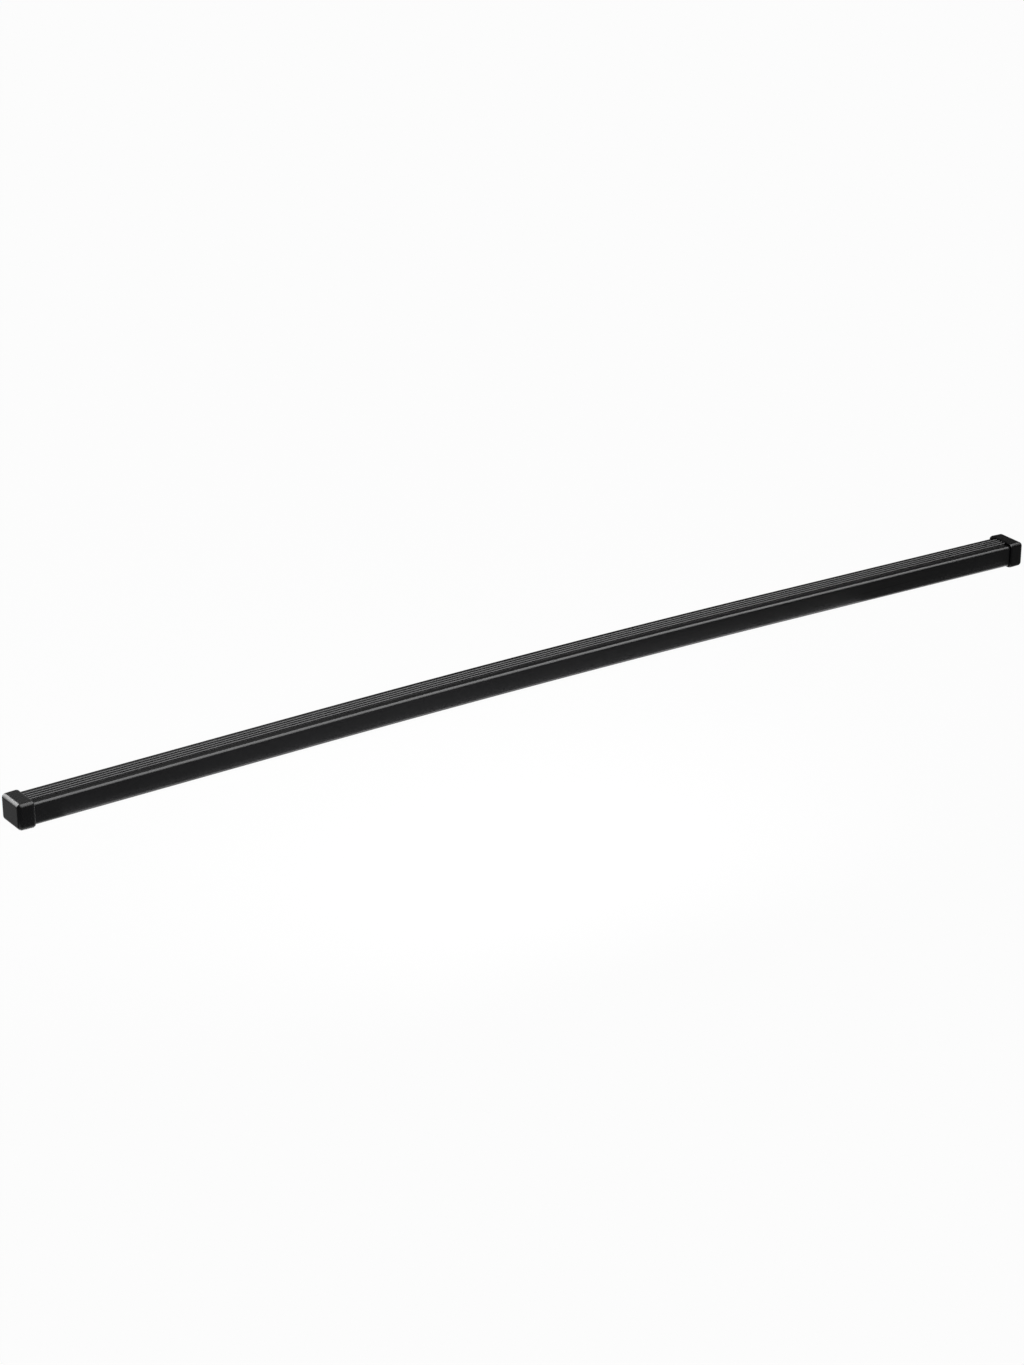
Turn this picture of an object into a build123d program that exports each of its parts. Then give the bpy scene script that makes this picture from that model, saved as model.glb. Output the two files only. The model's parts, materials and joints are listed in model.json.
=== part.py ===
from build123d import *
from build123d.topology import SkipClean
import os
from math import cos, radians, sin

# Roof rack crossbar: a plastic-coated steel tube with a gentle arch and a push-on cap at each end.
# Sizes are in millimetres. X runs along the bar, -Y is the front and Z is up.
# The origin is under mid-span, at the height of the cap rims that the bar lies on.

# Whole bar, measured along its centre line
overall_length = 1180.0
straight_end = 311.0
arch_rise = 6.7

# Plastic jacket
bar_width = 32.0
bar_height = 22.0
bar_corner_radius = 3.2
jacket_thickness = 1.0

# Round-topped load ribs along the top of the jacket
rib_count = 4
rib_pitch = 4.25
rib_width = 2.6
rib_height = 1.8

# Steel tube
tube_wall = 2.0
tube_bore_radius = 0.8

# End caps: how far a cap stands out from the bar is measured at its rim
cap_length = 16.6
cap_proud = 2.05
cap_top_proud = 2.75
cap_draft = 1.0
cap_edge_radius = 4.3
cap_rim_bevel = 0.7
cap_end_wall = 3.0
cap_clearance = 0.2

# Hollow spigot of a cap, gripped in the tube by crush ribs
spigot_length = 18.0
spigot_wall = 1.4
spigot_gap = 0.9
spigot_corner_radius = 1.8
crush_rib_width = 1.2
crush_rib_spacing = 14.0
crush_rib_lead = 3.0

# A foot seat on the underside ends this far short of the cap's rim
seat_margin = 0.5

# Sizes that follow from the ones above
tube_width = bar_width - 2 * jacket_thickness
tube_height = bar_height - 2 * jacket_thickness
tube_corner_radius = bar_corner_radius - jacket_thickness
bore_width = tube_width - 2 * tube_wall
bore_height = tube_height - 2 * tube_wall
spigot_width = bore_width - 2 * spigot_gap
spigot_height = bore_height - 2 * spigot_gap
rib_strip_width = (rib_count - 1) * rib_pitch + rib_width

# Places along the centre line, as distances from mid-span
half_length = overall_length / 2
arch_end = half_length - straight_end
rim_station = half_length - cap_length
seat_station = rim_station - seat_margin
bar_end = half_length - cap_end_wall

# The arch is one arc whose ends run on as the straight ends of the bar
end_slope = arch_rise / (straight_end + arch_end / 2)
arch_radius = arch_end / end_slope

# Depth of the lowest edge of a bevelled cap rim below the centre line at the rim
draft = radians(cap_draft)
bevel_depth = bar_height / 2 + cap_proud - cap_rim_bevel * sin(draft)
rest_depth = bevel_depth * cos(end_slope) + cap_rim_bevel * cos(draft) * sin(end_slope)

LEFT = -1
RIGHT = 1


def drop(station):
    """Fall of the centre line below its height at mid-span."""
    if station <= arch_end:
        return arch_radius * (1 - cos(station / arch_radius))
    return arch_radius * (1 - cos(end_slope)) + (station - arch_end) * sin(end_slope)


def reach(station):
    """Distance of a station from mid-span along X."""
    if station <= arch_end:
        return arch_radius * sin(station / arch_radius)
    return arch_radius * sin(end_slope) + (station - arch_end) * cos(end_slope)


centre_height = drop(rim_station) + rest_depth


def centre(side, station):
    """Point of the centre line in the XZ plane."""
    return (side * reach(station), centre_height - drop(station))


def section_plane(side, station):
    """Plane across a straight end, with its Y up and its Z towards the tip."""
    x, z = centre(side, station)
    outward = (side * cos(end_slope), 0, -sin(end_slope))
    return Plane(origin=(x, 0, z), x_dir=(0, side, 0), z_dir=outward)


def arched_line(station):
    """Centre line of the bar between the same station of both ends."""
    with BuildLine(Plane.XZ) as line:
        Line(centre(LEFT, station), centre(LEFT, arch_end))
        ThreePointArc(centre(LEFT, arch_end), centre(LEFT, 0), centre(RIGHT, arch_end))
        Line(centre(RIGHT, arch_end), centre(RIGHT, station))
    return line.line


# Steel tube
with BuildPart() as steel_tube:
    with BuildSketch(section_plane(LEFT, bar_end)):
        RectangleRounded(tube_width, tube_height, tube_corner_radius)
        RectangleRounded(bore_width, bore_height, tube_bore_radius, mode=Mode.SUBTRACT)
    sweep(path=arched_line(bar_end))

# Section of the plastic jacket
with BuildSketch() as jacket_section:
    RectangleRounded(bar_width, bar_height, bar_corner_radius)
    with Locations((0, bar_height / 2)):
        with GridLocations(rib_pitch, 0, rib_count, 1):
            Rectangle(rib_width, rib_height - rib_width / 2, align=(Align.CENTER, Align.MIN))
    with Locations((0, bar_height / 2 + rib_height - rib_width / 2)):
        with GridLocations(rib_pitch, 0, rib_count, 1):
            Circle(rib_width / 2)
    RectangleRounded(tube_width, tube_height, tube_corner_radius, mode=Mode.SUBTRACT)

# Plastic jacket: the length between the caps, then the stubs that the caps cover.
# The seam between them is kept, so that each foot seat is a face of its own.
with BuildPart() as plastic_jacket:
    with BuildSketch(section_plane(LEFT, seat_station)):
        add(jacket_section.sketch)
    sweep(path=arched_line(seat_station))
    with SkipClean():
        for side in (LEFT, RIGHT):
            with BuildSketch(section_plane(side, seat_station)):
                add(jacket_section.sketch)
            extrude(amount=bar_end - seat_station, clean=False)


def end_cap(side):
    """Moulded cap: a drafted sleeve over the jacket and a spigot inside the tube."""
    rim = section_plane(side, rim_station)
    seat = section_plane(side, bar_end)
    outward = Axis(rim.origin, rim.z_dir)
    with BuildPart() as cap:
        # Drafted outside, rounded along its corners and round its tip, with a bevelled rim
        with BuildSketch(rim):
            with Locations((0, (cap_top_proud - cap_proud) / 2)):
                Rectangle(bar_width + 2 * cap_proud, bar_height + cap_proud + cap_top_proud)
        extrude(amount=cap_length, taper=cap_draft)
        corner_edges, tip_edges = cap.edges().group_by(outward)[1:]
        fillet(corner_edges + tip_edges, cap_edge_radius)
        chamfer(cap.edges().group_by(outward)[0], cap_rim_bevel)
        # Socket for the jacket, with a channel for its ribs
        with BuildSketch(rim):
            RectangleRounded(
                bar_width + 2 * cap_clearance,
                bar_height + 2 * cap_clearance,
                bar_corner_radius + cap_clearance,
            )
            with Locations((0, bar_height / 2)):
                Rectangle(
                    rib_strip_width + 2 * cap_clearance,
                    rib_height + cap_clearance,
                    align=(Align.CENTER, Align.MIN),
                )
        extrude(amount=cap_length - cap_end_wall, mode=Mode.SUBTRACT)
        # Hollow spigot
        with BuildSketch(seat):
            RectangleRounded(spigot_width, spigot_height, spigot_corner_radius)
            Rectangle(
                spigot_width - 2 * spigot_wall,
                spigot_height - 2 * spigot_wall,
                mode=Mode.SUBTRACT,
            )
        extrude(amount=-spigot_length)
        # Crush ribs on the spigot that fill the bore of the tube, rooted half way into its wall
        with BuildSketch(seat):
            with GridLocations(crush_rib_spacing, 0, 2, 1):
                Rectangle(crush_rib_width, bore_height - 2 * cap_clearance)
            Rectangle(bore_width - 2 * cap_clearance, crush_rib_width)
            Rectangle(spigot_width - spigot_wall, spigot_height - spigot_wall, mode=Mode.SUBTRACT)
        extrude(amount=crush_rib_lead - spigot_length)
    return cap


left_end_cap = end_cap(LEFT)
right_end_cap = end_cap(RIGHT)

steel_tube.part.label = "steel_tube"
plastic_jacket.part.label = "plastic_jacket"
left_end_cap.part.label = "left_end_cap"
right_end_cap.part.label = "right_end_cap"

os.makedirs("parts", exist_ok=True)
export_step(steel_tube.part, "parts/steel_tube.step")
export_step(plastic_jacket.part, "parts/plastic_jacket.step")
export_step(left_end_cap.part, "parts/left_end_cap.step")
export_step(right_end_cap.part, "parts/right_end_cap.step")
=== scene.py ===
import json
import math

import bmesh
import bpy
from bpy.props import FloatProperty, FloatVectorProperty, IntProperty, PointerProperty
from bpy.types import NodeSocket, Operator, Panel, PropertyGroup
from mathutils import Matrix, Vector


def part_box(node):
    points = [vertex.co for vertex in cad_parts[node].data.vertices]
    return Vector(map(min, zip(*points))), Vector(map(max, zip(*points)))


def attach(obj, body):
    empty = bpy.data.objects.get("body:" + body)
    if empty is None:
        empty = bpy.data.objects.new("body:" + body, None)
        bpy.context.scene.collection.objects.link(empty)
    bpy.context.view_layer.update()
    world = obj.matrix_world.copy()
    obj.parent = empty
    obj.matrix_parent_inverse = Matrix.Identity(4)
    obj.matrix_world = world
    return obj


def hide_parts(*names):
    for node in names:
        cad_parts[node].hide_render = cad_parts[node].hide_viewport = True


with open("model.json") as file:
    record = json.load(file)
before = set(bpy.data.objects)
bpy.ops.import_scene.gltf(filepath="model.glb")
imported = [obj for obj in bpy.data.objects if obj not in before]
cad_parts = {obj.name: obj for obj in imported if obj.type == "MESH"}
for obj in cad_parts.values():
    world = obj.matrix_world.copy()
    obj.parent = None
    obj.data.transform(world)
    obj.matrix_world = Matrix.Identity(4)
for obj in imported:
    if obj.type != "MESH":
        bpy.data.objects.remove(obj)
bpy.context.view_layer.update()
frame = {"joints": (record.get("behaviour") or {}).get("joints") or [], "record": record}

bl_info = {
    "name": "Roof Rack Crossbar",
    "version": (1, 0, 0),
    "blender": (4, 5, 0),
    "location": "3D View > Sidebar > Crossbar",
    "description": "Plastic-coated steel load bar with a ribbed top and moulded end caps",
    "category": "Object",
}

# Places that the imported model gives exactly
MOUNTS = {mount["name"]: mount for mount in frame["record"]["mounts"]}
JOINTS = {joint["name"]: joint for joint in frame["joints"]}
RIB_CREST = MOUNTS["carrier_rail"]["pos_m"][2]
END_SLOPE = math.asin(-JOINTS["right_cap_pull"]["axis"][2])
JACKET_LOW, JACKET_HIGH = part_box("plastic_jacket")
BAR_WIDTH = JACKET_HIGH.y - JACKET_LOW.y

# The photograph's longer side in pixels, and Blender's sensor width, which lies along it
PHOTO_LONG_SIDE = 1365
SENSOR = 36.0

LEFT = -1
RIGHT = 1
MM = 0.001

# Shape of the rim's rounding: 1 is a quarter of an ellipse, 2 is a straight bevel
RIM_FLATNESS = 1.6

# How finely the pieces are drawn: distance between sections along the bar, and faces across the weld bead
TUBE_STEP = 16 * MM
JACKET_STEP = 10 * MM
BEAD_STEPS = 8

# Corners closer than this are one, and edges that turn more than this stay sharp
JOIN_DISTANCE = 0.0001 * MM
SHARP_ANGLE = math.radians(32)

# Half the floor's side, and how far the camera sees
FLOOR_REACH = 400.0
VIEW_REACH = 1000.0

# The piece at the bar's near end in the photograph
LEFT_CAP_PIECE = "left_cap_moulding"

# Where a light faces
UP = (0, 0, 1)
DOWN = (0, 0, -1)
TO_FRONT = (0, -1, 0)
TO_BACK = (0, 1, 0)

# Key light, which shows in the colours alone: middle, facing, sides and radiance
KEY_BOX = ((-0.25, -0.5, 0.32), (0, 0.5, -0.3), (0.5, 0.3), 4.6)
KEY_SPREAD = math.radians(120)

# Height of the lights that lie on the floor
FLOOR_LIFT = 0.001

# Soft boxes that show in the sheen alone: name, middle, facing, sides, radiance, and the one piece lit.
# Without that limit the two behind the left end would glare on the bar's top, seen from the front right.
SHEEN_BOXES = (
    ("overhead_sheen", (0.7, -0.98, 2.0), DOWN, (3.4, 3.4), 34.0, None),
    ("back_left_sheen", (-1.2, 1.6, 1.0), TO_FRONT, (1.6, 1.0), 42.0, LEFT_CAP_PIECE),
    ("back_left_fade", (-1.2, 1.6, 0.25), TO_FRONT, (1.6, 0.5), 18.0, LEFT_CAP_PIECE),
    ("back_fill", (0.05, 1.6, 0.8), TO_FRONT, (1.3, 1.2), 0.65, None),
    ("front_fill", (0, -1.8, 0.8), TO_BACK, (3.0, 1.2), 0.5, None),
    ("floor_sheen", (-0.0125, -0.0185, FLOOR_LIFT), UP, (1.175, 0.008), 6.0, None),
)

# Strips on the floor for the sheen on the bar's lower edge: name, middle along the bar, and length.
# They follow the arch: their line starts in front of mid-span and slants towards the ends of the bar.
ARCH_STRIPS = (("left_floor_sheen", -0.27, 0.54), ("right_floor_sheen", 0.19, 0.38))
ARCH_STRIP_START = -0.0277
ARCH_STRIP_SLANT = 0.012
ARCH_STRIP_WIDTH = 0.007
ARCH_STRIP_RADIANCE = 13.0

# Oval on the floor at mid-span, which fades out along the bar where the end of a strip would show
MIDDLE_OVAL = ((0, -0.024, FLOOR_LIFT), UP, (0.8, 0.012), 6.0)


def linear(hex_colour):
    """Linear red, green and blue of an sRGB hex colour."""
    channels = [int(hex_colour[i:i + 2], 16) / 255 for i in (1, 3, 5)]
    return tuple(c / 12.92 if c <= 0.04045 else ((c + 0.055) / 1.055) ** 2.4 for c in channels)


def length_property(name, description, default):
    """Length in metres that a user may change."""
    return FloatProperty(
        name=name, description=description, default=default, min=0, precision=5, unit="LENGTH"
    )


def colour_property(name, description, hex_colour):
    """Colour that a user may change."""
    return FloatVectorProperty(
        name=name, description=description, default=linear(hex_colour), min=0, max=1, size=3, subtype="COLOR"
    )


def angle_property(name, description, default):
    """Angle in radians that a user may change."""
    return FloatProperty(name=name, description=description, default=default, precision=5, subtype="ANGLE")


class CrossbarBar(PropertyGroup):
    """Sizes of the steel tube and its plastic jacket."""

    overall_length: length_property("Overall length", "Length along the centre line, over the caps", 1.18)
    straight_end: length_property("Straight end", "Straight length at each end of the arch", 0.311)
    end_slope: angle_property("End slope", "Slope of the straight ends", END_SLOPE)
    width: length_property("Width", "Width of the jacket", BAR_WIDTH)
    height: length_property("Height", "Height of the jacket without its ribs", 0.022)
    corner_radius: length_property("Corner radius", "Radius of the jacket's long edges", 0.0032)
    jacket_thickness: length_property("Jacket thickness", "Thickness of the plastic on the tube", 0.001)
    rib_count: IntProperty(name="Ribs", description="Number of load ribs along the top", default=4, min=1)
    rib_pitch: length_property("Rib pitch", "Distance between the middles of two ribs", 0.00425)
    rib_width: length_property("Rib width", "Width of a rib, and of its round top", 0.0026)
    rib_height: length_property("Rib height", "Height of a rib over the jacket", 0.0018)
    rib_root_radius: length_property("Rib root radius", "Small fillet at the foot of a rib", 0.0002)
    tube_wall: length_property("Tube wall", "Wall of the steel tube", 0.002)
    bore_radius: length_property("Bore radius", "Inside corner radius of the tube", 0.0008)
    weld_width: length_property("Weld width", "Width of the weld bead inside the tube", 0.0032)
    weld_height: length_property("Weld height", "Height of the weld bead inside the tube", 0.0005)


class CrossbarCaps(PropertyGroup):
    """Sizes of the moulded end caps."""

    length: length_property("Length", "Length of a cap from its rim to its end face", 0.0166)
    proud: length_property("Proud", "Standing out from the jacket's sides and bottom, at the rim", 0.00205)
    top_proud: length_property("Proud on top", "Standing out from the jacket's top, at the rim", 0.00275)
    draft: angle_property("Draft", "Taper of the outside towards the tip", math.radians(1.0))
    edge_radius: length_property("Edge radius", "Rounding along the corners and round the end face", 0.0043)
    rim_reach: length_property("Rim reach", "Length of the rim's rounding along the cap", 0.002)
    rim_depth: length_property("Rim depth", "Depth of the rim's rounding into the wall", 0.0007)
    end_wall: length_property("End wall", "Thickness of the end face", 0.003)
    clearance: length_property("Clearance", "Gap round the jacket and between the ribs and the tube", 0.0002)
    spigot_length: length_property("Spigot length", "Length of the hollow spigot in the tube", 0.018)
    spigot_wall: length_property("Spigot wall", "Wall of the spigot", 0.0014)
    spigot_gap: length_property("Spigot gap", "Gap between the spigot's wall and the tube", 0.0009)
    spigot_corner_radius: length_property("Spigot corner radius", "Radius of its outside corners", 0.0018)
    crush_rib_width: length_property("Crush rib width", "Width of a crush rib on the spigot", 0.0012)
    crush_rib_spacing: length_property("Crush rib spacing", "Distance between two ribs on one side", 0.014)
    crush_rib_lead: length_property("Crush rib lead", "How far from the tip a rib starts to run out", 0.003)


class CrossbarFinish(PropertyGroup):
    """Colours of the finishes."""

    jacket_black: colour_property("Jacket", "Extruded black plastic", "#0c0c0d")
    jacket_bloom: colour_property("Jacket bloom", "Paler cloud on the extruded plastic", "#101011")
    cap_black: colour_property("Cap", "Moulded black plastic", "#0b0b0c")
    cap_bloom: colour_property("Cap bloom", "Paler cloud on the moulded plastic", "#0e0e0f")
    sawn_plastic: colour_property("Sawn plastic", "Cut end of the jacket", "#2b2b2c")
    zinc_dark: colour_property("Zinc, dark", "Darker spangles of the zinc", "#8d9092")
    zinc_light: colour_property("Zinc, light", "Lighter spangles of the zinc", "#b4b7b9")
    sawn_steel: colour_property("Sawn steel", "Bare steel of the tube's cut end", "#a8a6a2")
    weld_blue: colour_property("Weld", "Heat-dulled bead inside the tube", "#6d6f73")


class CrossbarStage(PropertyGroup):
    """Camera, floor and light."""

    yaw: angle_property("Yaw", "Turn of the view to the right of +Y", math.radians(33.77))
    pitch: angle_property("Pitch", "Tilt of the view below the horizon", math.radians(23.15))
    roll: angle_property("Roll", "Turn of the camera about its view", math.radians(0.04))
    distance: length_property("Distance", "From the camera to mid-span along the view", 3.7653)
    aim_right: FloatProperty(
        name="Aim right", description="Place of mid-span to the right of the image centre",
        default=0.0381, precision=5, unit="LENGTH",
    )
    aim_down: FloatProperty(
        name="Aim down", description="Place of mid-span below the image centre",
        default=-0.0178, precision=5, unit="LENGTH",
    )
    focal_pixels: FloatProperty(
        name="Focal length", description="Focal length in pixels of the photograph", default=3849.0, min=1
    )
    floor_white: colour_property("Floor", "Plain pale floor", "#f4f4f4")
    floor_glow: FloatProperty(
        name="Floor glow",
        description="Share of plain white in the floor that the camera and reflections see",
        default=0.97, min=0, max=1, subtype="FACTOR",
    )
    sweep_height: angle_property("Sweep height", "Where the white sweep starts to fade", math.radians(3.0))
    sweep_fade: angle_property("Sweep fade", "Where the sweep has faded into the room", math.radians(8.0))
    room_light: FloatProperty(
        name="Room light", description="Light of the room over the sweep", default=0.13, min=0
    )


def add(tree, kind, inputs=None, **settings):
    """Add a node, set its settings, and set or link its inputs."""
    node = tree.nodes.new(kind)
    for name, value in settings.items():
        setattr(node, name, value)
    for key, value in (inputs or {}).items():
        if isinstance(value, NodeSocket):
            tree.links.new(value, node.inputs[key])
        else:
            node.inputs[key].default_value = value
    return node


def new_material(name):
    """Empty node material and its tree."""
    material = bpy.data.materials.new(name)
    material.use_nodes = True
    material.node_tree.nodes.clear()
    return material, material.node_tree


def rgba(colour):
    """Colour with full opacity, for a socket."""
    return (*colour, 1.0)


def extruded_plastic(finish):
    """Soft black plastic extruded over the tube: satin, with die lines that run the length of the bar."""
    material, tree = new_material("extruded_black_plastic")
    place = add(tree, "ShaderNodeTexCoord").outputs["Object"]
    # Die lines are about 0.2 mm apart. They are drawn 1.2 mm apart, so that they show, and 300 times as long.
    drawn = add(tree, "ShaderNodeVectorMath", {0: place, 1: (1 / 300, 1, 1)}, operation="MULTIPLY").outputs[0]
    lines = add(
        tree, "ShaderNodeTexNoise",
        {"Vector": drawn, "Scale": 1 / (1.2 * MM), "Detail": 3.0, "Roughness": 0.6},
    ).outputs["Fac"]
    # A faint cloud of bloom, 60 mm across
    cloud = add(
        tree, "ShaderNodeTexNoise",
        {"Vector": place, "Scale": 1 / (60 * MM), "Detail": 4.0, "Roughness": 0.55},
    ).outputs["Fac"]
    colour = add(
        tree, "ShaderNodeMix",
        {"Factor": cloud, "A": rgba(finish.jacket_black), "B": rgba(finish.jacket_bloom)},
        data_type="RGBA",
    ).outputs["Result"]
    roughness = add(
        tree, "ShaderNodeMapRange",
        {"Value": lines, "From Min": 0.3, "From Max": 0.7, "To Min": 0.27, "To Max": 0.33},
    ).outputs["Result"]
    bump = add(
        tree, "ShaderNodeBump", {"Height": lines, "Strength": 0.08, "Distance": 0.02 * MM}
    ).outputs["Normal"]
    shader = add(
        tree, "ShaderNodeBsdfPrincipled",
        {
            "Base Color": colour, "Roughness": roughness, "Normal": bump,
            "IOR": 1.5, "Specular IOR Level": 0.053,
        },
    )
    add(tree, "ShaderNodeOutputMaterial", {"Surface": shader.outputs["BSDF"]})
    return material


def moulded_plastic(finish):
    """Black polypropylene from a spark-eroded mould: satin, with a fine even pebble."""
    material, tree = new_material("moulded_black_polypropylene")
    place = add(tree, "ShaderNodeTexCoord").outputs["Object"]
    # The mould's grain is about 0.15 mm. It is drawn at 0.7 mm, so that it shows in a close view.
    pebble = add(
        tree, "ShaderNodeTexNoise",
        {"Vector": place, "Scale": 1 / (0.7 * MM), "Detail": 2.0, "Roughness": 0.5},
    ).outputs["Fac"]
    # A faint cloud of bloom, 18 mm across
    cloud = add(
        tree, "ShaderNodeTexNoise", {"Vector": place, "Scale": 1 / (18 * MM), "Detail": 3.0, "Roughness": 0.5}
    ).outputs["Fac"]
    colour = add(
        tree, "ShaderNodeMix", {"Factor": cloud, "A": rgba(finish.cap_black), "B": rgba(finish.cap_bloom)},
        data_type="RGBA",
    ).outputs["Result"]
    roughness = add(
        tree, "ShaderNodeMapRange",
        {"Value": pebble, "From Min": 0.3, "From Max": 0.7, "To Min": 0.27, "To Max": 0.33},
    ).outputs["Result"]
    bump = add(
        tree, "ShaderNodeBump", {"Height": pebble, "Strength": 0.06, "Distance": 0.02 * MM}
    ).outputs["Normal"]
    shader = add(
        tree, "ShaderNodeBsdfPrincipled",
        {
            "Base Color": colour, "Roughness": roughness, "Normal": bump,
            "IOR": 1.49, "Specular IOR Level": 0.045,
        },
    )
    add(tree, "ShaderNodeOutputMaterial", {"Surface": shader.outputs["BSDF"]})
    return material


def sawn_plastic(finish):
    """End of the jacket where it was sawn through: duller and paler, with fine saw lines."""
    material, tree = new_material("sawn_black_plastic")
    place = add(tree, "ShaderNodeTexCoord").outputs["Object"]
    # Saw lines about 0.5 mm apart, drawn out 20 times upright across the cut
    drawn = add(tree, "ShaderNodeVectorMath", {0: place, 1: (1, 1, 1 / 20)}, operation="MULTIPLY").outputs[0]
    lines = add(
        tree, "ShaderNodeTexNoise", {"Vector": drawn, "Scale": 1 / (0.5 * MM), "Detail": 2.0}
    ).outputs["Fac"]
    bump = add(
        tree, "ShaderNodeBump", {"Height": lines, "Strength": 0.5, "Distance": 0.04 * MM}
    ).outputs["Normal"]
    shader = add(
        tree, "ShaderNodeBsdfPrincipled",
        {
            "Base Color": rgba(finish.sawn_plastic), "Roughness": 0.65, "Normal": bump,
            "Specular IOR Level": 0.2,
        },
    )
    add(tree, "ShaderNodeOutputMaterial", {"Surface": shader.outputs["BSDF"]})
    return material


def galvanised_steel(finish):
    """Steel strip dipped in zinc and then formed: dull grey spangles, drawn out by the rollers."""
    material, tree = new_material("galvanised_steel")
    place = add(tree, "ShaderNodeTexCoord").outputs["Object"]
    # Spangles about 5 mm across, stretched along the strip
    drawn = add(tree, "ShaderNodeVectorMath", {0: place, 1: (0.6, 1, 1)}, operation="MULTIPLY").outputs[0]
    spangle = add(
        tree, "ShaderNodeTexVoronoi", {"Vector": drawn, "Scale": 1 / (5 * MM), "Randomness": 1.0}
    ).outputs["Color"]
    shade = add(tree, "ShaderNodeSeparateColor", {"Color": spangle}).outputs[0]
    # Roller lines 0.8 mm apart, drawn out 80 times along the strip
    rolled = add(tree, "ShaderNodeVectorMath", {0: place, 1: (1 / 80, 1, 1)}, operation="MULTIPLY").outputs[0]
    lines = add(
        tree, "ShaderNodeTexNoise", {"Vector": rolled, "Scale": 1 / (0.8 * MM), "Detail": 3.0}
    ).outputs["Fac"]
    colour = add(
        tree, "ShaderNodeMix", {"Factor": shade, "A": rgba(finish.zinc_dark), "B": rgba(finish.zinc_light)},
        data_type="RGBA",
    ).outputs["Result"]
    roughness = add(
        tree, "ShaderNodeMapRange", {"Value": shade, "To Min": 0.34, "To Max": 0.5}
    ).outputs["Result"]
    bump = add(
        tree, "ShaderNodeBump", {"Height": lines, "Strength": 0.3, "Distance": 0.03 * MM}
    ).outputs["Normal"]
    shader = add(
        tree, "ShaderNodeBsdfPrincipled",
        {"Base Color": colour, "Metallic": 1.0, "Roughness": roughness, "Normal": bump},
    )
    add(tree, "ShaderNodeOutputMaterial", {"Surface": shader.outputs["BSDF"]})
    return material


def sawn_steel(finish):
    """Bare steel of the tube's cut end: brighter, with upright saw lines."""
    material, tree = new_material("sawn_steel")
    place = add(tree, "ShaderNodeTexCoord").outputs["Object"]
    # Saw lines about 0.4 mm apart, drawn out 25 times upright
    drawn = add(tree, "ShaderNodeVectorMath", {0: place, 1: (1, 1, 1 / 25)}, operation="MULTIPLY").outputs[0]
    lines = add(
        tree, "ShaderNodeTexNoise", {"Vector": drawn, "Scale": 1 / (0.4 * MM), "Detail": 2.0}
    ).outputs["Fac"]
    roughness = add(
        tree, "ShaderNodeMapRange", {"Value": lines, "To Min": 0.25, "To Max": 0.45}
    ).outputs["Result"]
    bump = add(
        tree, "ShaderNodeBump", {"Height": lines, "Strength": 0.5, "Distance": 0.03 * MM}
    ).outputs["Normal"]
    shader = add(
        tree, "ShaderNodeBsdfPrincipled",
        {"Base Color": rgba(finish.sawn_steel), "Metallic": 1.0, "Roughness": roughness, "Normal": bump},
    )
    add(tree, "ShaderNodeOutputMaterial", {"Surface": shader.outputs["BSDF"]})
    return material


def weld_bead(finish):
    """Seam weld left inside the tube: dull blue-grey, with the ripples of the weld pool."""
    material, tree = new_material("seam_weld")
    place = add(tree, "ShaderNodeTexCoord").outputs["Object"]
    # Ripples about 1.5 mm apart along the bead. The wave texture's own period is 2 pi / 20 of a unit.
    ripple = add(
        tree, "ShaderNodeTexWave",
        {"Vector": place, "Scale": 2 * math.pi / (20 * 1.5 * MM), "Distortion": 3.0},
        bands_direction="X",
    ).outputs["Fac"]
    bump = add(
        tree, "ShaderNodeBump", {"Height": ripple, "Strength": 0.6, "Distance": 0.1 * MM}
    ).outputs["Normal"]
    roughness = add(
        tree, "ShaderNodeMapRange", {"Value": ripple, "To Min": 0.45, "To Max": 0.6}
    ).outputs["Result"]
    shader = add(
        tree, "ShaderNodeBsdfPrincipled",
        {"Base Color": rgba(finish.weld_blue), "Metallic": 1.0, "Roughness": roughness, "Normal": bump},
    )
    add(tree, "ShaderNodeOutputMaterial", {"Surface": shader.outputs["BSDF"]})
    return material


class CentreLine:
    """Arched centre line of the bar, by the distance from mid-span."""

    def __init__(self, bar, caps):
        self.half = bar.overall_length / 2
        self.arch_end = self.half - bar.straight_end
        self.radius = self.arch_end / bar.end_slope
        self.height = RIB_CREST - bar.rib_height - bar.height / 2
        self.bar_end = self.half - caps.end_wall
        self.rim = self.half - caps.length

    def place(self, station):
        """Matrix of a section at a signed station: X along the bar, Y across it and Z out of its top."""
        side = math.copysign(1, station)
        angle = min(abs(station), self.arch_end) / self.radius
        beyond = max(abs(station) - self.arch_end, 0)
        reach = self.radius * math.sin(angle) + beyond * math.cos(angle)
        drop = self.radius * (1 - math.cos(angle)) + beyond * math.sin(angle)
        middle = Matrix.Translation((side * reach, 0, self.height - drop))
        return middle @ Matrix.Rotation(side * angle, 4, "Y")

    def stations(self, step):
        """Stations from end to end of the bar, about one step apart."""
        count = math.ceil(2 * self.bar_end / step)
        return [self.bar_end * (2 * i / count - 1) for i in range(count + 1)]


def round_rib(middle, width, height, root, steps=8):
    """Points of a round-topped rib, as distances along and out from the side that it stands on."""
    half = width / 2
    points = []
    for i in range(steps // 2 + 1):
        turn = math.pi / 2 * i / (steps // 2)
        points.append((-half - root * (1 - math.sin(turn)), root * (1 - math.cos(turn))))
    for i in range(2 * steps + 1):
        turn = math.pi * (1 - i / (2 * steps))
        points.append((half * math.cos(turn), height - half + half * math.sin(turn)))
    points += [(-along, out) for along, out in reversed(points[:steps // 2 + 1])]
    return [(middle + along, out) for along, out in points]


def square_rib(middle, width, height):
    """Points of a square rib or channel on a side."""
    half = width / 2
    return [(middle - half, 0), (middle - half, height), (middle + half, height), (middle + half, 0)]


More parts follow.
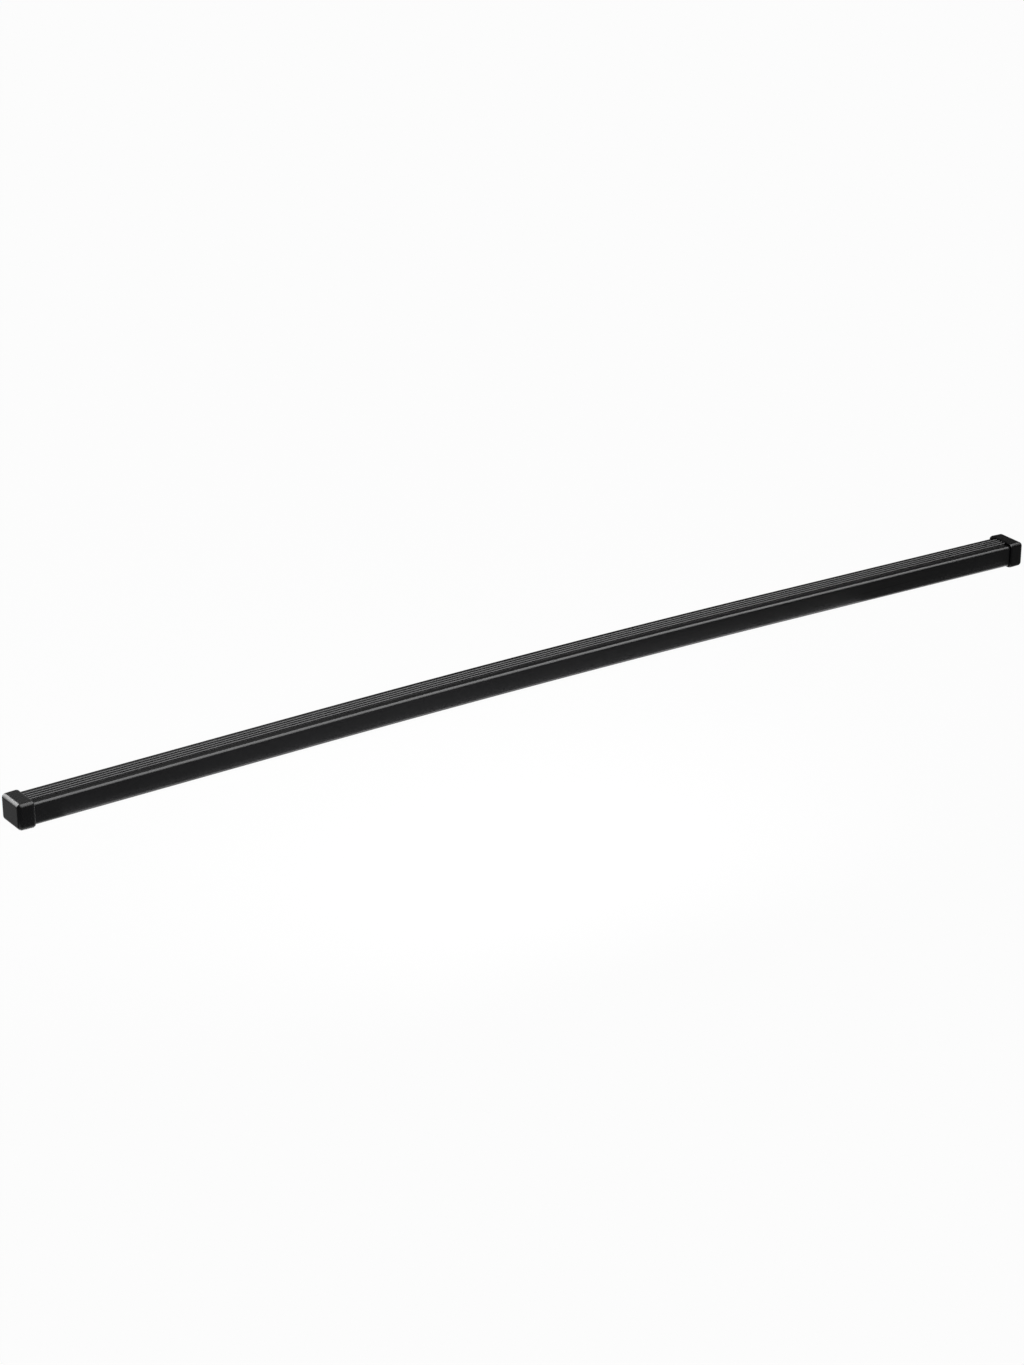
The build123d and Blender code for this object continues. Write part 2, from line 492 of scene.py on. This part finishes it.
def section(width, height, radius, ribs=None, steps=12, rise=0.0):
    """Rounded rectangle as points across and up, with ribs on the sides that are named."""
    sides = (
        ("bottom", Vector((0, -height / 2)), Vector((1, 0)), Vector((0, -1)), width),
        ("back", Vector((width / 2, 0)), Vector((0, 1)), Vector((1, 0)), height),
        ("top", Vector((0, height / 2)), Vector((-1, 0)), Vector((0, 1)), width),
        ("front", Vector((-width / 2, 0)), Vector((0, -1)), Vector((-1, 0)), height),
    )
    points = []
    for name, middle, along, out, length in sides:
        end = length / 2 - radius
        run = [(-end, 0), *(ribs or {}).get(name, ()), (end, 0)]
        points += [middle + along * distance + out * stand for distance, stand in run]
        corner = middle + along * end - out * radius
        turns = [math.pi / 2 * i / steps for i in range(1, steps)]
        points += [corner + radius * (out * math.cos(turn) + along * math.sin(turn)) for turn in turns]
    return [(point.x, point.y + rise) for point in points]


def add_ring(shell, place, along, points):
    """Ring of corners for a section, at a distance along its place."""
    return [shell.verts.new(place @ Vector((along, across, up))) for across, up in points]


def add_wall(shell, first, second, material=0):
    """Wall of four-sided faces between two rings with as many corners."""
    for i in range(len(first)):
        face = shell.faces.new((first[i - 1], first[i], second[i], second[i - 1]))
        face.material_index = material


def add_flat(shell, rings, material=0):
    """Flat face inside one ring, or between an outer and an inner ring."""
    if len(rings) == 1:
        shell.faces.new(rings[0]).material_index = material
        return
    edges = []
    for ring in rings:
        for i in range(len(ring)):
            pair = (ring[i - 1], ring[i])
            edges.append(shell.edges.get(pair) or shell.edges.new(pair))
    filled = bmesh.ops.triangle_fill(shell, edges=edges, use_beauty=True)["geom"]
    for face in filled:
        if isinstance(face, bmesh.types.BMFace):
            face.material_index = material


def finish_piece(name, shell, materials, node, body):
    """Turn a shell into an object that stands for a CAD node and rides on its body."""
    bmesh.ops.remove_doubles(shell, verts=shell.verts, dist=JOIN_DISTANCE)
    bmesh.ops.recalc_face_normals(shell, faces=shell.faces)
    mesh = bpy.data.meshes.new(name)
    shell.to_mesh(mesh)
    shell.free()
    mesh.shade_smooth()
    mesh.set_sharp_from_angle(angle=SHARP_ANGLE)
    for material in materials:
        mesh.materials.append(material)
    piece = bpy.data.objects.new(name, mesh)
    bpy.context.scene.collection.objects.link(piece)
    normals = piece.modifiers.new("flat_faces_stay_flat", "WEIGHTED_NORMAL")
    normals.keep_sharp = True
    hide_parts(node)
    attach(piece, body)
    return piece


def tube_sections(bar):
    """Outside and bore of the steel tube. The bore has a low weld bead along its bottom."""
    width = bar.width - 2 * bar.jacket_thickness
    height = bar.height - 2 * bar.jacket_thickness
    outside = section(width, height, bar.corner_radius - bar.jacket_thickness)
    half = bar.weld_width / 2
    turns = [math.pi * (1 - i / BEAD_STEPS) for i in range(BEAD_STEPS + 1)]
    bead = [(half * math.cos(turn), -bar.weld_height * math.sin(turn)) for turn in turns]
    walls = 2 * bar.tube_wall
    bore = section(width - walls, height - walls, bar.bore_radius, {"bottom": bead}, steps=6)
    return outside, bore


def sweep_hollow(line, step, outside, inside, skin, cut):
    """Shell between two sections along the whole bar, with cut ends. Gives the shell and its inner rings."""
    shell = bmesh.new()
    outer, inner = [], []
    for station in line.stations(step):
        place = line.place(station)
        outer.append(add_ring(shell, place, 0, outside))
        inner.append(add_ring(shell, place, 0, inside))
    for rings in (outer, inner):
        for first, second in zip(rings, rings[1:]):
            add_wall(shell, first, second, skin)
    for end in (0, -1):
        add_flat(shell, (outer[end], inner[end]), cut)
    return shell, inner


class CROSSBAR_OT_tube(Operator):
    """Build the galvanised steel tube inside the bar"""

    bl_idname = "crossbar.build_tube"
    bl_label = "Build Steel Tube"

    def execute(self, context):
        bar = context.scene.crossbar_bar
        finish = context.scene.crossbar_finish
        line = CentreLine(bar, context.scene.crossbar_caps)
        zinc, bare, weld = 0, 1, 2
        outside, bore = tube_sections(bar)
        shell, rings = sweep_hollow(line, TUBE_STEP, outside, bore, zinc, bare)
        # The bead starts at the second point of the bore's section
        for first, second in zip(rings, rings[1:]):
            for i in range(1, BEAD_STEPS + 1):
                bead = shell.faces.get((first[i], first[i + 1], second[i + 1], second[i]))
                bead.material_index = weld
        materials = (galvanised_steel(finish), sawn_steel(finish), weld_bead(finish))
        finish_piece("arched_tube", shell, materials, "steel_tube", "bar")
        return {"FINISHED"}


class CROSSBAR_OT_jacket(Operator):
    """Build the plastic jacket with the load ribs along its top"""

    bl_idname = "crossbar.build_jacket"
    bl_label = "Build Plastic Jacket"

    def execute(self, context):
        bar = context.scene.crossbar_bar
        finish = context.scene.crossbar_finish
        line = CentreLine(bar, context.scene.crossbar_caps)
        drawn, sawn = 0, 1
        middles = [(i - (bar.rib_count - 1) / 2) * bar.rib_pitch for i in range(bar.rib_count)]
        ribs = [
            point
            for middle in middles
            for point in round_rib(middle, bar.rib_width, bar.rib_height, bar.rib_root_radius)
        ]
        outside = section(bar.width, bar.height, bar.corner_radius, {"top": ribs})
        inside = tube_sections(bar)[0]
        shell, _ = sweep_hollow(line, JACKET_STEP, outside, inside, drawn, sawn)
        materials = (extruded_plastic(finish), sawn_plastic(finish))
        finish_piece("ribbed_jacket", shell, materials, "plastic_jacket", "bar")
        return {"FINISHED"}


def cap_skin(caps, tip_steps=12, rim_steps=8):
    """Outside of a cap from rim to end face: distance from the rim, inset from its outline, corner radius."""
    slope = math.tan(caps.draft)
    radius = caps.edge_radius
    tip_along = caps.length - radius
    tip_inset = tip_along * slope + radius / math.cos(caps.draft)
    skin = []
    for i in range(rim_steps + 1):
        turn = math.pi / 2 * i / rim_steps
        along = caps.rim_reach * (1 - math.cos(turn) ** RIM_FLATNESS)
        bite = caps.rim_depth * (1 - math.sin(turn) ** RIM_FLATNESS)
        skin.append((along, along * slope + bite, radius - bite))
    for i in range(tip_steps + 1):
        turn = caps.draft + (math.pi / 2 - caps.draft) * i / tip_steps
        corner = radius * math.cos(turn)
        skin.append((tip_along + radius * math.sin(turn), tip_inset - corner, corner))
    return skin


def build_cap(bar, caps, line, side):
    """Shell of a cap: drafted sleeve, socket with a channel for the ribs, and spigot with crush ribs."""
    place = line.place(side * line.rim)
    width = bar.width + 2 * caps.proud
    height = bar.height + caps.proud + caps.top_proud
    rise = (caps.top_proud - caps.proud) / 2
    shell = bmesh.new()

    # Outside, from the rim over the rounded tip to the end face
    rings = []
    for along, inset, corner in cap_skin(caps):
        outline = section(width - 2 * inset, height - 2 * inset, corner, rise=rise)
        rings.append(add_ring(shell, place, side * along, outline))
    for first, second in zip(rings, rings[1:]):
        add_wall(shell, first, second)
    add_flat(shell, rings[-1:])

    # Socket that the jacket's end sits in
    strip = (bar.rib_count - 1) * bar.rib_pitch + bar.rib_width + 2 * caps.clearance
    channel = {"top": square_rib(0, strip, bar.rib_height)}
    gap = 2 * caps.clearance
    socket = section(bar.width + gap, bar.height + gap, bar.corner_radius + caps.clearance, channel, steps=8)
    floor = caps.length - caps.end_wall
    mouth = add_ring(shell, place, 0, socket)
    bottom = add_ring(shell, place, side * floor, socket)
    add_flat(shell, (rings[0], mouth))
    add_wall(shell, mouth, bottom)

    # Spigot, with crush ribs that run out towards its tip
    bore_width = bar.width - 2 * (bar.jacket_thickness + bar.tube_wall)
    bore_height = bar.height - 2 * (bar.jacket_thickness + bar.tube_wall)
    stand = caps.spigot_gap - caps.clearance
    spigot = []
    for along, rib_height in (
        (floor, stand),
        (floor - caps.spigot_length + caps.crush_rib_lead, stand),
        (floor - caps.spigot_length + caps.crush_rib_lead / 2, 0),
        (floor - caps.spigot_length, 0),
    ):
        pair = [
            point
            for middle in (-caps.crush_rib_spacing / 2, caps.crush_rib_spacing / 2)
            for point in square_rib(middle, caps.crush_rib_width, rib_height)
        ]
        single = square_rib(0, caps.crush_rib_width, rib_height)
        outline = section(
            bore_width - 2 * caps.spigot_gap,
            bore_height - 2 * caps.spigot_gap,
            caps.spigot_corner_radius,
            {"bottom": pair, "top": pair, "front": single, "back": single},
            steps=6,
        )
        spigot.append(add_ring(shell, place, side * along, outline))
    add_flat(shell, (bottom, spigot[0]))
    for first, second in zip(spigot, spigot[1:]):
        add_wall(shell, first, second)

    # Hollow of the spigot
    inset = 2 * (caps.spigot_gap + caps.spigot_wall)
    hollow_radius = caps.spigot_corner_radius - caps.spigot_wall
    hollow = section(bore_width - inset, bore_height - inset, hollow_radius, steps=4)
    lip = add_ring(shell, place, side * (floor - caps.spigot_length), hollow)
    back = add_ring(shell, place, side * floor, hollow)
    # Known fault: this fill covers the hollow's mouth and leaves the ring round it open
    add_flat(shell, (spigot[-1], lip))
    add_wall(shell, lip, back)
    add_flat(shell, (back,))
    return shell


class CROSSBAR_OT_caps(Operator):
    """Build the two moulded end caps"""

    bl_idname = "crossbar.build_caps"
    bl_label = "Build End Caps"

    def execute(self, context):
        bar = context.scene.crossbar_bar
        caps = context.scene.crossbar_caps
        line = CentreLine(bar, caps)
        material = moulded_plastic(context.scene.crossbar_finish)
        for side, name, node, body in (
            (LEFT, LEFT_CAP_PIECE, "left_end_cap", "left_cap"),
            (RIGHT, "right_cap_moulding", "right_end_cap", "right_cap"),
        ):
            shell = build_cap(bar, caps, line, side)
            finish_piece(name, shell, (material,), node, body)
        return {"FINISHED"}


def add_softbox(name, middle, facing, sides, radiance, matt=True, gloss=True, kept_to=None):
    """Rectangular soft light, which may be kept to one named piece.

    Without matt it shows in the sheen only, and without gloss in the colours only.
    """
    lamp = bpy.data.lights.new(name, "AREA")
    lamp.shape = "RECTANGLE"
    lamp.size, lamp.size_y = sides
    lamp.energy = radiance * math.pi * sides[0] * sides[1]
    light = bpy.data.objects.new(name, lamp)
    bpy.context.scene.collection.objects.link(light)
    light.location = middle
    light.rotation_euler = (-Vector(facing)).to_track_quat("Z", "Y").to_euler()
    light.visible_camera = False
    light.visible_diffuse = matt
    light.visible_glossy = gloss
    if kept_to:
        lit = bpy.data.collections.new(name + "_lights")
        lit.objects.link(bpy.data.objects[kept_to])
        light.light_linking.receiver_collection = lit
    return light


class CROSSBAR_OT_stage(Operator):
    """Set up the floor, the studio light and the camera"""

    bl_idname = "crossbar.build_stage"
    bl_label = "Build Stage"

    def execute(self, context):
        scene = context.scene
        stage = scene.crossbar_stage
        scene.view_settings.view_transform = "Standard"
        self.build_floor(stage)
        self.build_light(scene, stage)
        self.build_camera(scene, stage)
        return {"FINISHED"}

    def build_floor(self, stage):
        """Plain white floor that keeps the bar's soft shadow."""
        mesh = bpy.data.meshes.new("floor")
        corners = [(x * FLOOR_REACH, y * FLOOR_REACH, 0) for x, y in ((-1, -1), (1, -1), (1, 1), (-1, 1))]
        mesh.from_pydata(corners, [], [(0, 1, 2, 3)])
        floor = bpy.data.objects.new("floor", mesh)
        bpy.context.scene.collection.objects.link(floor)
        material, tree = new_material("white_paper_sweep")
        paper = add(tree, "ShaderNodeBsdfDiffuse", {"Color": rgba(stage.floor_white)})
        glow = add(tree, "ShaderNodeEmission", {"Strength": 1.0})
        path = add(tree, "ShaderNodeLightPath").outputs
        seen = path["Is Camera Ray"]
        for ray in ("Is Glossy Ray", "Is Transmission Ray"):
            seen = add(tree, "ShaderNodeMath", {0: seen, 1: path[ray]}, operation="MAXIMUM").outputs[0]
        share = add(tree, "ShaderNodeMath", {0: seen, 1: stage.floor_glow}, operation="MULTIPLY")
        mix = add(
            tree, "ShaderNodeMixShader",
            {0: share.outputs[0], 1: paper.outputs["BSDF"], 2: glow.outputs["Emission"]},
        )
        add(tree, "ShaderNodeOutputMaterial", {"Surface": mix.outputs["Shader"]})
        mesh.materials.append(material)

    def build_light(self, scene, stage):
        """Room with a white sweep, key light for the colours, soft boxes and floor strips for the sheen."""
        world = bpy.data.worlds.new("studio_room")
        world.use_nodes = True
        tree = world.node_tree
        tree.nodes.clear()
        place = add(tree, "ShaderNodeTexCoord").outputs["Generated"]
        height = add(tree, "ShaderNodeSeparateXYZ", {"Vector": place}).outputs["Z"]
        level = add(
            tree, "ShaderNodeMapRange",
            {
                "Value": height,
                "From Min": math.sin(stage.sweep_height), "From Max": math.sin(stage.sweep_fade),
                "To Min": 1.0, "To Max": stage.room_light,
            },
            interpolation_type="SMOOTHSTEP",
        ).outputs["Result"]
        room = add(tree, "ShaderNodeBackground", {"Color": rgba((1, 1, 1)), "Strength": level})
        add(tree, "ShaderNodeOutputWorld", {"Surface": room.outputs["Background"]})
        scene.world = world
        key = add_softbox("key_softbox", *KEY_BOX, gloss=False)
        key.data.spread = KEY_SPREAD
        for name, middle, facing, sides, radiance, piece in SHEEN_BOXES:
            add_softbox(name, middle, facing, sides, radiance, matt=False, kept_to=piece)
        for name, along, length in ARCH_STRIPS:
            middle = (along, ARCH_STRIP_START + ARCH_STRIP_SLANT * abs(along), FLOOR_LIFT)
            strip = add_softbox(name, middle, UP, (length, ARCH_STRIP_WIDTH), ARCH_STRIP_RADIANCE, matt=False)
            strip.rotation_euler.rotate(Matrix.Rotation(math.copysign(ARCH_STRIP_SLANT, along), 3, "Z"))
        oval = add_softbox("middle_floor_sheen", *MIDDLE_OVAL, matt=False)
        oval.data.shape = "ELLIPSE"

    def build_camera(self, scene, stage):
        """Camera at the photograph's viewing angle."""
        cos_yaw, sin_yaw = math.cos(stage.yaw), math.sin(stage.yaw)
        cos_pitch, sin_pitch = math.cos(stage.pitch), math.sin(stage.pitch)
        cos_roll, sin_roll = math.cos(stage.roll), math.sin(stage.roll)
        ahead = Vector((sin_yaw * cos_pitch, cos_yaw * cos_pitch, -sin_pitch))
        level = Vector((cos_yaw, -sin_yaw, 0))
        plumb = ahead.cross(level)
        right = cos_roll * level + sin_roll * plumb
        down = cos_roll * plumb - sin_roll * level
        line = CentreLine(scene.crossbar_bar, scene.crossbar_caps)
        mid_span = Vector((0, 0, line.height))
        position = mid_span - stage.aim_right * right - stage.aim_down * down - stage.distance * ahead
        lens = bpy.data.cameras.new("photo_camera")
        lens.sensor_width = SENSOR
        lens.lens = stage.focal_pixels * SENSOR / PHOTO_LONG_SIDE
        lens.clip_end = VIEW_REACH
        camera = bpy.data.objects.new("photo_camera", lens)
        scene.collection.objects.link(camera)
        turn = Matrix((right, -down, -ahead)).transposed().to_4x4()
        camera.matrix_world = Matrix.Translation(position) @ turn
        scene.camera = camera


class CROSSBAR_PT_sidebar(Panel):
    """Pieces of the crossbar and its stage"""

    bl_idname = "CROSSBAR_PT_sidebar"
    bl_label = "Roof Rack Crossbar"
    bl_space_type = "VIEW_3D"
    bl_region_type = "UI"
    bl_category = "Crossbar"

    def draw(self, context):
        for operator in OPERATORS:
            self.layout.operator(operator.bl_idname)
        for name in SETTINGS:
            settings = getattr(context.scene, name)
            box = self.layout.box()
            for key in settings.__annotations__:
                box.prop(settings, key)


SETTINGS = {
    "crossbar_bar": CrossbarBar,
    "crossbar_caps": CrossbarCaps,
    "crossbar_finish": CrossbarFinish,
    "crossbar_stage": CrossbarStage,
}
OPERATORS = (CROSSBAR_OT_tube, CROSSBAR_OT_jacket, CROSSBAR_OT_caps, CROSSBAR_OT_stage)
CLASSES = (*SETTINGS.values(), *OPERATORS, CROSSBAR_PT_sidebar)


def register():
    """Add the settings, operators and panel to Blender."""
    for cls in CLASSES:
        bpy.utils.register_class(cls)
    for name, group in SETTINGS.items():
        setattr(bpy.types.Scene, name, PointerProperty(type=group))


def unregister():
    """Take the settings, operators and panel out again."""
    for name in SETTINGS:
        delattr(bpy.types.Scene, name)
    for cls in reversed(CLASSES):
        bpy.utils.unregister_class(cls)


def main():
    """Build the crossbar and its stage."""
    register()
    bpy.ops.crossbar.build_tube()
    bpy.ops.crossbar.build_jacket()
    bpy.ops.crossbar.build_caps()
    bpy.ops.crossbar.build_stage()


if __name__ == "__main__":
    main()
